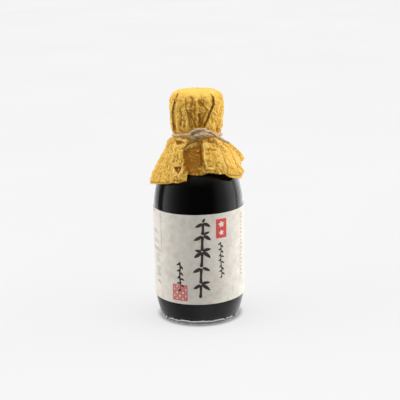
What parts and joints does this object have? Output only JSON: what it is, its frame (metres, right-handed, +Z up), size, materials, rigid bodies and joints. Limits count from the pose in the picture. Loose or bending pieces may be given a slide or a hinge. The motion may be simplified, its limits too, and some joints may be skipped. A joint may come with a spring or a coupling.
{
  "type": "soy sauce bottle",
  "caption": "Round glass bottle of soy sauce with a wrap-round paper label, its head and shoulder covered by crumpled paper tied round the neck with cord.",
  "frame": {"origin": "on the bottle's axis, at the face that it stands on", "axes": "+Z up along the bottle; the front with the knot faces -Y; +X is to the right seen from the front"},
  "size_m": [0.0591, 0.0559, 0.1422],
  "materials": {
    "clear_glass": "clear, smooth, faintly green",
    "dark_sauce": "near-black brown liquid",
    "label_paper": "mottled handmade paper with short fibres, printed in black and red",
    "yellow_paper": "thin crumpled paper, matt, light passes through it",
    "twine": "twisted two-ply twine, matt"
  },
  "bodies": {
    "root": {"bottle_glass": "clear_glass", "soy_sauce": "dark_sauce", "label": "label_paper", "paper_cover": "yellow_paper", "tie_cord": "twine"}
  },
  "joints": []
}
